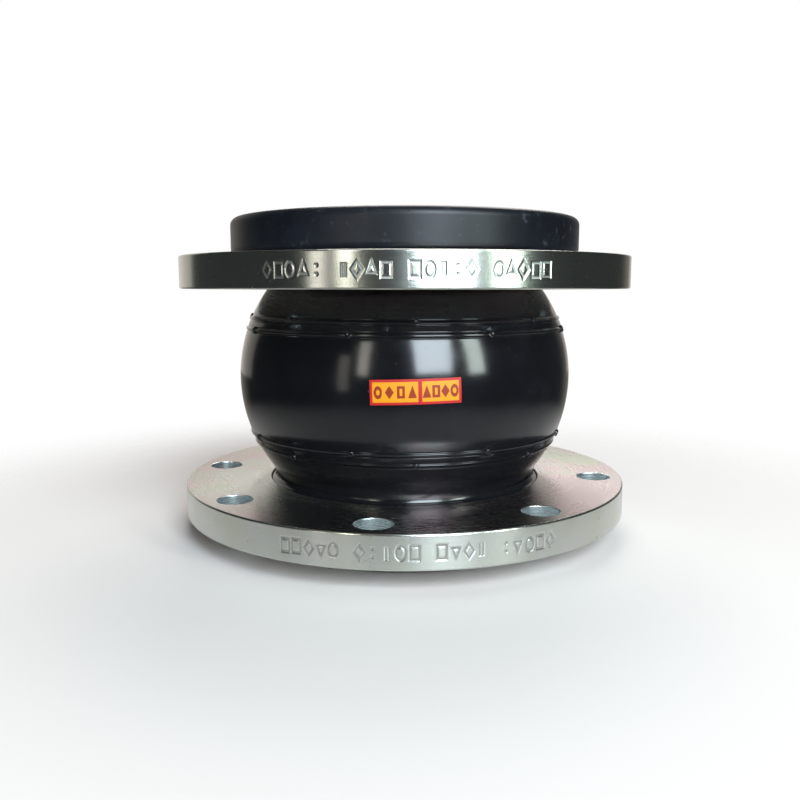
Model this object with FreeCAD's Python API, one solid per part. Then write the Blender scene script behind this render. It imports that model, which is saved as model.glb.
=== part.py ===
"""Rubber expansion joint, DN125 PN16, single arch, with floating steel flanges.

Millimetres, +Z up along the flow axis. The origin is the centre of the lower sealing face, on which the
joint stands, and -Y is the side that carries the label.

The wall is a body of revolution. One line, the outside of the cover, carries its whole shape: every layer
lies between two curves parallel to that line, so a new arch or a new wall reshapes them all together.
"""
import FreeCAD, Part
import math
import os

# Overall
body_length = 167.0  # between the two sealing faces
bore_r = 62.5  # flow passage, DN125
head_h = 20.0  # sealing head, along the axis
head_lip = 21.8  # how far the sealing head stands out of the neck
head_edge_r = 4.0  # rounding of the head's outer edges

# Arch, measured on the outside of the cover
arch_h = 18.5  # crown above neck
neck_l = 12.3  # from the back of the head to where the neck and the shoulder would meet
barrel_share = 0.786  # of the arch's height is the barrel's curve, and a straight shoulder is the rest
neck_fillet_h = 2.65  # how far the fillet between neck and shoulder stands out of the neck

# Wall, from the bore outwards
liner_t = 2.2
ply_t = 0.7
ply_count = 4
middle_rubber_t = 0.6
cover_t = 2.6
layer_gap = 0.1  # between layers that move as one
bond_gap = 0.3  # between layers whose bodies part company as the joint flexes

# Ridges moulded round the cover, placed by their share of half the arch
ridge_r = 1.2
ridge_proud = 0.9
outer_ridge_share = 0.652
inner_ridge_share = 0.543

# Foot: the thicker neck that fills the flange's bore
foot_proud = 2.7
foot_l = 7.0  # from the back of the head to the end of its full height
foot_slope_l = 3.5

# Zones of the cover: the end seams lie in the flanges, and the rest are shares of half the arch
seam_in_flange = 1.0
lower_neck_seam_share = -0.767
lower_barrel_seam_share = -0.408
upper_barrel_seam_share = 0.249
upper_neck_seam_share = 0.598

# Bead
turn_r = 6.2  # middle of the carcass round the bead
face_rubber_t = 3.4  # rubber between the sealing face and the turned plies
turn_up_l = 3.0  # straight end of the turned plies
filler_l = 4.6  # filler below the bead's middle
bead_wire_r = 0.75
bead_wire_pitch = 1.6
bead_turns_across = 3
wire_gap = 0.05

# Flanges
flange_t = 16.5
flange_edge = 0.8
flange_bore_edge = 0.4
recess_gap = 0.8  # between the head and the recess that it sits in
recess_depth = 9.1
bolt_circle_out = 11.7  # bolt circle beyond the head
rim_out = 15.0  # flange's outside beyond the bolt circle
bolt_hole_r = 9.0
bolt_hole_edge = 0.3
bolt_count = 8
first_bolt_deg = -7.8  # from the label side, seen from above
flange_seat_gap = 0.3
flange_neck_gap = 0.4

# Label
label_w = 42.0
label_h = 11.6
label_t = 0.3
label_gap = 0.1
label_offset = 1.5  # above mid-height
label_deg = 3.0

AXIS = FreeCAD.Vector(0, 0, 1)
ORIGIN = FreeCAD.Vector(0, 0, 0)
FRONT_DEG = -90.0
TINY = 1e-6

middle_z = body_length / 2
carcass_half_t = (ply_count * ply_t + middle_rubber_t + ply_count * layer_gap) / 2
carcass_to_outside = carcass_half_t + bond_gap + cover_t
carcass_to_bore = carcass_half_t + layer_gap + liner_t
wall_t = carcass_to_outside + carcass_to_bore
neck_r = bore_r + wall_t
crown_r = neck_r + arch_h
head_r = neck_r + head_lip
foot_r = neck_r + foot_proud
flange_bore_r = foot_r + flange_neck_gap
recess_r = head_r + recess_gap
bolt_circle_r = head_r + bolt_circle_out
flange_r = bolt_circle_r + rim_out
neck_corner_z = head_h + neck_l
half_arch = middle_z - neck_corner_z

# The shoulder's lean off the axis is the one at which the barrel's curve runs on into the shoulder
slimness = half_arch / arch_h
half_lean = (math.sqrt(slimness**2 + 1 - barrel_share**2) - slimness) / (1 - barrel_share)
shoulder = 2 * math.atan(half_lean)
barrel_curve_r = barrel_share * arch_h / (1 - math.cos(shoulder))
neck_fillet_r = neck_fillet_h / (1 - math.cos(shoulder))


# Section lines. A line is a list of (r, z, corner radius) and runs upwards, with the outside on its right.


def unit(a, b):
    """Direction from point a to point b."""
    length = math.hypot(b[0] - a[0], b[1] - a[1])
    return (b[0] - a[0]) / length, (b[1] - a[1]) / length


def parallel(line, shift):
    """The line moved outwards by shift, with its corners' radii changed to stay parallel."""
    ways = [unit(a, b) for a, b in zip(line, line[1:])]
    moved = []
    for i, (r, z, corner) in enumerate(line):
        before = ways[max(i - 1, 0)]
        after = ways[min(i, len(ways) - 1)]
        spread = 1 + before[0] * after[0] + before[1] * after[1]
        out_r = (before[1] + after[1]) * shift / spread
        out_z = -(before[0] + after[0]) * shift / spread
        turn = before[0] * after[1] - before[1] * after[0]
        grown = corner + shift * math.copysign(1.0, turn) if corner else 0.0
        moved.append((r + out_r, z + out_z, grown))
    return moved


def point(r, z):
    return FreeCAD.Vector(r, 0, z)


def edges_of(line):
    """Straight runs and the tangent arcs that round the line's corners."""
    edges = []
    start = line[0][:2]
    for before, corner, after in zip(line, line[1:], line[2:]):
        into = unit(before, corner)
        out = unit(corner, after)
        turn = math.acos(max(-1.0, min(1.0, into[0] * out[0] + into[1] * out[1])))
        reach = corner[2] * math.tan(turn / 2)
        entry = (corner[0] - into[0] * reach, corner[1] - into[1] * reach)
        leave = (corner[0] + out[0] * reach, corner[1] + out[1] * reach)
        inward = (out[0] - into[0], out[1] - into[1])
        depth = math.hypot(*inward)
        sag = corner[2] * (1 / math.cos(turn / 2) - 1)
        middle = (corner[0] + inward[0] / depth * sag, corner[1] + inward[1] / depth * sag)
        if math.dist(start, entry) > TINY:
            edges.append(Part.LineSegment(point(*start), point(*entry)).toShape())
        edges.append(Part.Arc(point(*entry), point(*middle), point(*leave)).toShape())
        start = leave
    if math.dist(start, line[-1][:2]) > TINY:
        edges.append(Part.LineSegment(point(*start), point(*line[-1][:2])).toShape())
    return edges


def band(line, inner, outer):
    """The section between two curves parallel to the line."""
    inside = edges_of(parallel(line, inner))
    outside = edges_of(parallel(line, outer))
    foot = Part.LineSegment(inside[0].Vertexes[0].Point, outside[0].Vertexes[0].Point).toShape()
    top = Part.LineSegment(inside[-1].Vertexes[-1].Point, outside[-1].Vertexes[-1].Point).toShape()
    return Part.Face(Part.Wire(Part.__sortEdges__(inside + outside + [foot, top])))


def rectangle(r_from, r_to, z_from, z_to):
    corners = [(r_from, z_from), (r_to, z_from), (r_to, z_to), (r_from, z_to), (r_from, z_from)]
    return Part.Face(Part.makePolygon([point(r, z) for r, z in corners]))


def disc(r, z, radius):
    circle = Part.Circle(point(r, z), FreeCAD.Vector(0, -1, 0), radius)
    return Part.Face(Part.Wire(circle.toShape()))


def slab(z_from, z_to):
    """Everything between two heights, as a section."""
    return rectangle(0.0, 2 * flange_r, z_from, z_to)


def mirrored(section):
    """The section turned over about mid-height, for the other end."""
    return section.mirror(point(0.0, middle_z), AXIS)


def turned(section, angle=360.0):
    """The section swept round the axis."""
    solids = [face.revolve(ORIGIN, AXIS, angle).Solids[0] for face in section.Faces]
    return solids[0] if len(solids) == 1 else joined(*solids)


def joined(first, *others):
    return first.fuse(list(others)).removeSplitter()


# The arch


def cover_line():
    """The outside of the cover, from one sealing face to the other, without the ridges and the feet."""
    return [
        (neck_r, 0.0, 0.0),
        (neck_r, neck_corner_z, neck_fillet_r),
        (neck_r + half_arch * math.tan(shoulder), middle_z, barrel_curve_r),
        (neck_r, body_length - neck_corner_z, neck_fillet_r),
        (neck_r, body_length, 0.0),
    ]


cover = cover_line()
carcass = parallel(cover, -carcass_to_outside)
neck_middle_r = carcass[0][0]
bead_r = neck_middle_r + turn_r
bead_z = face_rubber_t + turn_r + carcass_half_t
turned_r = neck_middle_r + 2 * turn_r


def plies_line(end_gap=0.0):
    """The middle of the carcass, from one turned end round both beads to the other."""
    end_z = bead_z + turn_up_l + end_gap
    low = [(turned_r, end_z, 0.0), (turned_r, bead_z - turn_r, turn_r), (neck_middle_r, bead_z - turn_r, turn_r)]
    high = [(r, body_length - z, corner) for r, z, corner in reversed(low)]
    return low + carcass[1:-1] + high


# Flange places. The lower flange hangs on its bead; the upper one has dropped onto the arch's shoulder.
lower_flange_z = head_h + flange_seat_gap - recess_depth
lower_flange_inner_z = lower_flange_z + flange_t
rest_r = flange_bore_r - flange_seat_gap / math.cos(shoulder)  # of the shoulder, where the bore rests on it
rest_z = body_length - neck_corner_z - (rest_r - neck_r) / math.tan(shoulder)
upper_flange_inner_z = rest_z - flange_bore_edge
upper_flange_z = upper_flange_inner_z + flange_t
lower_end_seam_z = lower_flange_inner_z - seam_in_flange
upper_end_seam_z = upper_flange_inner_z + seam_in_flange

flexing_carcass = band(plies_line(bond_gap), -carcass_half_t - bond_gap, carcass_half_t + bond_gap)


def foot():
    """The lower neck's thicker end, sloping back to the neck above the flange."""
    inner_r = neck_r - cover_t / 2
    slope_z = head_h + foot_l + foot_slope_l
    outline = [
        (inner_r, head_h / 2),
        (foot_r, head_h / 2),
        (foot_r, head_h + foot_l),
        (neck_r, slope_z),
        (inner_r, slope_z),
        (inner_r, head_h / 2),
    ]
    return Part.Face(Part.makePolygon([point(r, z) for r, z in outline]))


def with_feet(section):
    return joined(section, foot(), mirrored(foot()))


whole_wall = with_feet(band(cover, -wall_t, 0.0))


def filler_outline(extra=0.0):
    """The rubber core inside the turned plies, grown by extra."""
    half = turn_r - carcass_half_t - bond_gap + extra
    core = disc(bead_r, bead_z, half)
    tail = rectangle(bead_r - half, bead_r + half, bead_z, bead_z + filler_l + extra)
    return joined(core, tail)


def head_outline():
    """The lower sealing head, rounded outside."""
    inner = (bore_r, 0.0)
    low = edges_of(
        [
            (*inner, 0.0),
            (head_r, 0.0, head_edge_r),
            (head_r, head_h, head_edge_r),
            (bore_r, head_h, 0.0),
        ]
    )
    back = Part.LineSegment(point(bore_r, head_h), point(*inner)).toShape()
    return Part.Face(Part.Wire(Part.__sortEdges__(low + [back])))


def sealing_collar(upper):
    """The head and the stiff neck behind it, hollow for the carcass and the bead."""
    head, hollow = head_outline(), filler_outline(wire_gap)
    if upper:
        head, hollow = mirrored(head), mirrored(hollow)
        neck = whole_wall.common(slab(upper_end_seam_z, body_length))
    else:
        neck = whole_wall.common(slab(0.0, lower_end_seam_z))
    return turned(joined(head, neck).cut([flexing_carcass, hollow]))


def bead_places(centre_z):
    """Radius and height of each turn of wire: a square bundle, each turn a ring of its own."""
    steps = [(turn - (bead_turns_across - 1) / 2) * bead_wire_pitch for turn in range(bead_turns_across)]
    return [(bead_r + out, centre_z + up) for out in steps for up in steps]


def bead_wires(upper):
    places = bead_places(body_length - bead_z if upper else bead_z)
    return Part.makeCompound([Part.makeTorus(r, bead_wire_r, FreeCAD.Vector(0, 0, z)) for r, z in places])


def bead_filler(upper):
    """The filler, with a passage for each wire of the bead."""
    passages = [disc(r, z, bead_wire_r + wire_gap / 2) for r, z in bead_places(bead_z)]
    section = filler_outline().cut(passages)
    return turned(mirrored(section) if upper else section)


def arch_z(share):
    """Height at this share of half the arch, above mid-height if positive."""
    return middle_z + share * half_arch


def ridge(z):
    """A half-round ridge on the cover at this height."""
    column = Part.makePolygon([point(0.0, z), point(2 * flange_r, z)])
    surface = Part.Wire(edges_of(cover))
    surface_r = surface.distToShape(column)[1][0][0].x
    return disc(surface_r + ridge_proud - ridge_r, z, ridge_r)


def cover_zone(z_from, z_to):
    """One zone of the cover, with the ridges and the foot that it carries."""
    shares = [-outer_ridge_share, -inner_ridge_share, inner_ridge_share, outer_ridge_share]
    ridges = [ridge(arch_z(share)) for share in shares]
    section = joined(with_feet(band(cover, -cover_t, 0.0)), *ridges)
    return turned(section.common(slab(z_from + bond_gap / 2, z_to - bond_gap / 2)))


def inner_liner():
    """The flexing part of the tube that the fluid touches."""
    section = band(cover, -wall_t, -wall_t + liner_t)
    return turned(section.common(slab(lower_end_seam_z + bond_gap, upper_end_seam_z - bond_gap)))


def carcass_layer(inner, outer):
    return turned(band(plies_line(), inner, outer))


def cord_ply(number):
    """One of the cord plies: half of them lie inside the middle rubber and half outside."""
    below = number * (ply_t + layer_gap)
    if number >= ply_count / 2:
        below += middle_rubber_t + layer_gap
    return carcass_layer(below - carcass_half_t, below - carcass_half_t + ply_t)


def middle_rubber():
    return carcass_layer(-middle_rubber_t / 2, middle_rubber_t / 2)


def flange():
    """The lower flange: the bead's recess is in its underside."""
    z_low, z_high = lower_flange_z, lower_flange_inner_z
    edge, bore_edge = flange_edge, flange_bore_edge
    outline = [
        (recess_r + bore_edge, z_low),
        (flange_r - edge, z_low),
        (flange_r, z_low + edge),
        (flange_r, z_high - edge),
        (flange_r - edge, z_high),
        (flange_bore_r + bore_edge, z_high),
        (flange_bore_r, z_high - bore_edge),
        (flange_bore_r, z_low + recess_depth + bore_edge),
        (flange_bore_r + bore_edge, z_low + recess_depth),
        (recess_r, z_low + recess_depth),
        (recess_r, z_low + bore_edge),
        (recess_r + bore_edge, z_low),
    ]
    ring = turned(Part.Face(Part.makePolygon([point(r, z) for r, z in outline])))
    return ring.cut([bolt_hole(n, z_low, z_high) for n in range(bolt_count)])


def bolt_hole(number, z_low, z_high):
    """A bolt hole with both mouths chamfered, as the solid that is taken away."""
    angle = math.radians(FRONT_DEG + first_bolt_deg + number * 360.0 / bolt_count)
    place = FreeCAD.Vector(bolt_circle_r * math.cos(angle), bolt_circle_r * math.sin(angle), z_low)
    mouth_r = bolt_hole_r + bolt_hole_edge
    bore = Part.makeCylinder(bolt_hole_r, z_high - z_low, place, AXIS)
    low_mouth = Part.makeCone(mouth_r, bolt_hole_r, bolt_hole_edge, place, AXIS)
    top = place + FreeCAD.Vector(0, 0, z_high - z_low)
    high_mouth = Part.makeCone(mouth_r, bolt_hole_r, bolt_hole_edge, top, FreeCAD.Vector(0, 0, -1))
    return joined(bore, low_mouth, high_mouth)


def upper_flange():
    """The same flange turned over, with its bolt holes in line with the lower one's."""
    turned_over = flange().mirror(ORIGIN, AXIS)
    turned_over.translate(FreeCAD.Vector(0, 0, upper_flange_z + lower_flange_z))
    return turned_over


def label():
    """A film stuck on the front of the barrel."""
    section = band(cover, label_gap, label_gap + label_t)
    label_z = middle_z + label_offset
    section = section.common(slab(label_z - label_h / 2, label_z + label_h / 2))
    spread = math.degrees(label_w / crown_r)
    film = turned(section, spread)
    film.rotate(ORIGIN, AXIS, FRONT_DEG + label_deg - spread / 2)
    return film


def write(node, shape):
    if not shape.isValid():
        raise ValueError(f"{node} isn't a valid shape")
    shape.exportStep(f"parts/{node}.step")


os.makedirs("parts", exist_ok=True)
write("lower_sealing_collar", sealing_collar(upper=False))
write("upper_sealing_collar", sealing_collar(upper=True))
write("lower_bead_wire", bead_wires(upper=False))
write("upper_bead_wire", bead_wires(upper=True))
write("lower_bead_filler", bead_filler(upper=False))
write("upper_bead_filler", bead_filler(upper=True))
write("inner_liner", inner_liner())
for number in range(ply_count):
    write(f"cord_ply_{number + 1}", cord_ply(number))
write("middle_rubber", middle_rubber())
lower_neck_seam_z = arch_z(lower_neck_seam_share)
lower_barrel_seam_z = arch_z(lower_barrel_seam_share)
upper_barrel_seam_z = arch_z(upper_barrel_seam_share)
upper_neck_seam_z = arch_z(upper_neck_seam_share)
write("cover_lower_neck", cover_zone(lower_end_seam_z, lower_neck_seam_z))
write("cover_lower_shoulder", cover_zone(lower_neck_seam_z, lower_barrel_seam_z))
write("cover_barrel", cover_zone(lower_barrel_seam_z, upper_barrel_seam_z))
write("cover_upper_shoulder", cover_zone(upper_barrel_seam_z, upper_neck_seam_z))
write("cover_upper_neck", cover_zone(upper_neck_seam_z, upper_end_seam_z))
write("label", label())
write("lower_flange", flange())
write("upper_flange", upper_flange())
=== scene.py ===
"""Looks of a rubber expansion joint: a black single-arch bellows between two loose zinc-plated flanges.

Metres throughout, +Z up the flow axis, -Y the side that carries the label. Every layer of the rubber wall
is a body of revolution parallel to one line, the outside of the cover. The wall is built in five zones,
one to each joint of the arch.
"""
import math

import bmesh
import bpy
import numpy as np
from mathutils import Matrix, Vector
from mathutils.geometry import tessellate_polygon


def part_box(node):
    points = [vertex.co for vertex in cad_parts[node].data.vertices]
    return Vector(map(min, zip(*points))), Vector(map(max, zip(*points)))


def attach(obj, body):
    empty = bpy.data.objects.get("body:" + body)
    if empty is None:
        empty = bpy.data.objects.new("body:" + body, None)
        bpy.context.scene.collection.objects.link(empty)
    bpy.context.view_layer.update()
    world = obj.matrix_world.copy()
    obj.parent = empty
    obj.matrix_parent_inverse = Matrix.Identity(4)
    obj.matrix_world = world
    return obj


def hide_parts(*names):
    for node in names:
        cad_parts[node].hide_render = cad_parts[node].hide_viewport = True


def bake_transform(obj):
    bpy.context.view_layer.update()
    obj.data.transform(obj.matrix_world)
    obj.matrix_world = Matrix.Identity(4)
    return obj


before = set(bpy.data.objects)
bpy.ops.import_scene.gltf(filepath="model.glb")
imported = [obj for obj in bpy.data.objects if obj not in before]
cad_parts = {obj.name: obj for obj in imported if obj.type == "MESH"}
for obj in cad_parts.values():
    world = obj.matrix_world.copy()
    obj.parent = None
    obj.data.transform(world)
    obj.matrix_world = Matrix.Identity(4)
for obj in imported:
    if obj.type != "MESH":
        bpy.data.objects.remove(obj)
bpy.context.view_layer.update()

bl_info = {
    "name": "Rubber expansion joint",
    "version": (1, 0, 0),
    "blender": (4, 5, 0),
    "location": "3D View > Sidebar > Joint",
    "description": "Builds the looks of a single-arch rubber expansion joint around its frame",
    "category": "Add Mesh",
}

MM = 0.001
FRONT = -math.pi / 2

# The frame's own sizes
LOWER_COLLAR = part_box("lower_sealing_collar")
UPPER_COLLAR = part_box("upper_sealing_collar")
LOWER_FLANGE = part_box("lower_flange")
UPPER_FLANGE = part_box("upper_flange")
LENGTH = UPPER_COLLAR[1].z - LOWER_COLLAR[0].z
MIDDLE_Z = LENGTH / 2

# Each zone of the wall: its name, and the two bodies whose joint it crosses
ZONES = [
    ("lower_neck", "lower_end", "lower_neck"),
    ("lower_shoulder", "lower_neck", "lower_shoulder"),
    ("barrel", "lower_shoulder", "barrel"),
    ("upper_shoulder", "barrel", "upper_shoulder"),
    ("upper_neck", "upper_shoulder", "upper_end"),
]


# How finely the pieces are cut round the axis, and how many things there are
COVER_COLUMNS = 360
LINER_COLUMNS = 180
CARCASS_COLUMNS = 120
STAMPED_COLUMNS = 640  # over the stamped arc of a rim
PLAIN_COLUMNS = 260  # over the rest of it
RIM_ROWS = 60
HOLE_COUNT = 8
HOLE_COLUMNS = 72
NUB_COUNT = 8  # on each ridge
NUB_COLUMNS = 20

# Slow waves of a moulded surface: turns round the axis, radians per metre of height, phase
WAVES = [(3, 41.0, 0.3), (5, 67.0, 1.9), (8, 118.0, 4.1), (13, 163.0, 2.6), (21, 240.0, 5.2)]

# Name, azimuth, elevation, distance, size, power and tint of each light. Azimuth runs from the label side
# towards +X. The windows stand where a viewer on the label side sees them mirrored in the barrel.
LIGHTS = [
    ("window right", 18.5, 26.0, 1.6, (0.66, 1.10), 56.0, (0.80, 0.91, 1.0)),
    ("window far right", 47.0, 18.5, 1.7, (0.33, 0.80), 15.0, (0.86, 1.0, 0.95)),
    ("window left", -27.0, 17.0, 1.9, (0.22, 0.80), 4.6, (1.0, 0.97, 0.88)),
    ("window far left", -40.0, 6.0, 1.9, (0.24, 0.80), 1.4, (1.0, 0.95, 0.86)),
    ("window back", 172.0, 47.0, 1.8, (1.1, 0.9), 22.0, (1.0, 0.98, 0.95)),
    ("ceiling", 0.0, 88.0, 2.2, (2.6, 2.6), 4.0, (1.0, 0.98, 0.95)),
    ("wall left", -150.0, 12.0, 2.4, (2.2, 1.5), 5.6, (1.0, 0.94, 0.86)),
    ("wall right", 161.0, 12.0, 2.4, (1.1, 1.5), 2.0, (1.0, 0.95, 0.90)),
]

# What a mirror sees of the room, from in front of the object to behind it
ROOM = [
    (0.0, (0.028, 0.034, 0.036)),
    (0.84, (0.045, 0.050, 0.050)),
    (0.93, (0.26, 0.24, 0.22)),
    (1.0, (0.38, 0.36, 0.335)),
]


def zone_seams():
    """Heights where one zone of the wall ends and the next begins, with the stiff ends first and last."""
    boxes = [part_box(f"cover_{zone[0]}") for zone in ZONES]
    between = [(low[1].z + high[0].z) / 2 for low, high in zip(boxes, boxes[1:])]
    return [LOWER_COLLAR[1].z, *between, UPPER_COLLAR[0].z]


SEAMS = zone_seams()


# Sizes and colours that a user would change


def length(name, description, default):
    return bpy.props.FloatProperty(name=name, description=description, default=default, unit="LENGTH", precision=5)


def degrees(name, description, default):
    return bpy.props.FloatProperty(
        name=name, description=description, default=math.radians(default), subtype="ANGLE"
    )


def share(name, description, default):
    return bpy.props.FloatProperty(name=name, description=description, default=default, min=0.0, max=1.0)


def colour(name, description, default):
    return bpy.props.FloatVectorProperty(
        name=name, description=description, default=default, size=3, subtype="COLOR", min=0.0, max=1.0
    )


class WallSizes(bpy.types.PropertyGroup):
    """The rubber wall and its layers."""

    neck_r: length("Neck radius", "Outside of the cover at the waist beside the flanges", 71.5 * MM)
    crown_r: length("Crown radius", "Outside of the cover at mid-height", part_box("cover_barrel")[1].x)
    neck_corner: length("Neck corner", "From a sealing face to where neck and shoulder would meet", 32.3 * MM)
    barrel_share: share("Barrel share", "Share of the arch's height that the barrel's curve takes", 0.786)
    fillet_h: length("Fillet height", "How far the fillet of neck and shoulder stands out of the neck", 2.65 * MM)
    foot_r: length("Foot radius", "Thicker neck that fills the flange's bore", 74.2 * MM)
    foot_z: length("Foot top", "From a sealing face to the end of the foot's full radius", 27.1 * MM)
    foot_l: length("Foot flare", "Length over which the foot flares out of the neck", 3.4 * MM)
    cover_t: length("Cover", "Thickness of the outer cover", 2.6 * MM)
    wall_t: length("Wall", "Cover, carcass and liner together", 9.0 * MM)
    liner_t: length("Liner", "Thickness of the inner liner", 2.2 * MM)
    ply_t: length("Ply", "Thickness of one cord ply", 0.7 * MM)
    middle_t: length("Middle rubber", "Thickness of the rubber between the second and third plies", 0.6 * MM)
    layer_gap: length("Layer gap", "Space between neighbouring layers of the carcass", 0.1 * MM)
    turn_r: length("Bead turn", "Radius of the carcass round the bead", 6.2 * MM)
    face_rubber_t: length("Face rubber", "Rubber between the sealing face and the turned plies", 3.4 * MM)
    turn_up_l: length("Turn-up", "Straight end of the turned plies", 3.0 * MM)
    ridge_half_w: length("Ridge half width", "Half the width of a moulded ridge", 0.85 * MM)
    ridge_h: length("Ridge height", "How far a ridge stands out of the cover", 0.75 * MM)
    ridge_groove: length("Ridge groove", "Depth of the fine groove beside a ridge", 0.22 * MM)
    band_h: length("Band height", "How far the band between two ridges stands out", 0.2 * MM)
    ridge_middle: length("Ridge middle", "Height midway between the lower and the upper ridges", 81.9 * MM)
    outer_ridge: length("Outer ridge", "Height of the outer ridges off their middle", 33.4 * MM)
    inner_ridge: length("Inner ridge", "Height of the inner ridges off their middle", 27.8 * MM)
    waviness: length("Waviness", "Slow unevenness of the moulded surface", 0.05 * MM)
    nub_r: length("Vent nub radius", "Trimmed vent stub left by the mould", 1.8 * MM)
    nub_h: length("Vent nub height", "How far a vent nub stands out", 0.9 * MM)
    nub_turn: degrees("Vent nub turn", "First vent nub of the outer ridges, off the label side", 3.4)


class FlangeSizes(bpy.types.PropertyGroup):
    """The loose flanges and the marks stamped in their rims."""

    bore_r: length("Bore radius", "Hole that the neck passes through", 74.6 * MM)
    recess_r: length("Recess radius", "Seat of the sealing head", 94.1 * MM)
    recess_depth: length("Recess depth", "Depth of the sealing head's seat", 9.1 * MM)
    bolt_circle_r: length("Bolt circle radius", "Circle of the bolt holes' centres", 105.0 * MM)
    hole_r: length("Bolt hole radius", "Radius of one bolt hole", 9.0 * MM)
    first_hole: degrees("First hole", "First bolt hole, off the label side", -7.8)
    edge_r: length("Edge rounding", "Rounding of the rim's edges", 0.8 * MM)
    fine_edge_r: length("Fine edge rounding", "Rounding of the bore's and holes' edges", 0.4 * MM)
    stamp_h: length("Stamp height", "Height of a stamped mark", 6.6 * MM)
    stamp_pitch: length("Stamp pitch", "From one stamped mark to the next", 5.9 * MM)
    stamp_stroke: length("Stamp stroke", "Width of a stamped line", 0.62 * MM)
    stamp_depth: length("Stamp depth", "Depth of a stamped line", 0.16 * MM)
    upper_stamp: degrees("Upper stamp", "Middle of the upper rim's marks, off the label side", 0.3)
    lower_stamp: degrees("Lower stamp", "Middle of the lower rim's marks, off the label side", 3.2)


class LabelSizes(bpy.types.PropertyGroup):
    """The printed film on the barrel."""

    width: length("Width", "Along the barrel", 42.0 * MM)
    height: length("Height", "Up the barrel", 11.6 * MM)
    border: length("Border", "Width of the red border", 1.15 * MM)
    thickness: length("Thickness", "Thickness of the film", 0.16 * MM)
    lift: length("Lift", "How far the film's back lies off the cover", 0.12 * MM)
    middle_z: length("Middle height", "Height of the label's middle", 84.7 * MM)
    turn: degrees("Turn", "Middle of the label, off the label side", 3.0)
    tilt: degrees("Tilt", "How far the label is stuck on askew", 1.4)
    mark_h: length("Mark height", "Height of a printed mark", 6.2 * MM)


class Finishes(bpy.types.PropertyGroup):
    """Colours of the finishes."""

    rubber: colour("Rubber", "Cover rubber", (0.0035, 0.0036, 0.0045))
    head_rubber: colour("Head rubber", "Rubber of the sealing heads", (0.0032, 0.0038, 0.0054))
    bloom: colour("Bloom", "Faint bloom on the heads' rubber", (0.010, 0.0125, 0.019))
    liner: colour("Liner", "Inner rubber", (0.012, 0.012, 0.013))
    nylon: colour("Nylon", "Cord plies", (0.30, 0.24, 0.16))
    zinc: colour("Zinc", "Plated steel", (0.52, 0.53, 0.50))
    zinc_pink: colour("Pink zinc", "Pink passivation tint", (0.56, 0.47, 0.48))
    zinc_green: colour("Green zinc", "Green passivation tint", (0.47, 0.50, 0.41))
    drilled: colour("Drilled steel", "Inside of the bolt holes", (0.80, 0.88, 0.91))
    bead_wire: colour("Bead wire", "Bronzed bead wire", (0.55, 0.38, 0.20))
    label_red: colour("Label red", "Border of the label", (0.33, 0.011, 0.010))
    label_yellow: colour("Label yellow", "Panels of the label", (0.56, 0.21, 0.006))
    label_ink: colour("Label ink", "Marks on the label", (0.20, 0.022, 0.006))
    floor: colour("Floor", "Studio floor", (0.57, 0.53, 0.505))


class StageSizes(bpy.types.PropertyGroup):
    """Camera and lights."""

    camera_x: length("Camera x", "Camera, off the axis", -2.5 * MM)
    camera_y: length("Camera y", "Camera, in front of the axis", -453.5 * MM)
    camera_z: length("Camera z", "Camera, above the lower sealing face", 133.0 * MM)
    camera_dip: degrees("Camera dip", "How far the camera looks down", 8.135)
    lens_mm: bpy.props.FloatProperty(name="Lens", description="Focal length in millimetres", default=36.65)


# Shader building


class Value:
    """A number of a shader. Arithmetic on it adds Math nodes."""

    def __init__(self, shader, socket):
        self.shader = shader
        self.socket = socket

    def __add__(self, other):
        return self.shader.math("ADD", self, other)

    def __rsub__(self, other):
        return self.shader.math("SUBTRACT", other, self)

    def __mul__(self, other):
        return self.shader.math("MULTIPLY", self, other)

    def __pow__(self, other):
        return self.shader.math("POWER", self, other)

    __radd__ = __add__
    __rmul__ = __mul__


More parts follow.
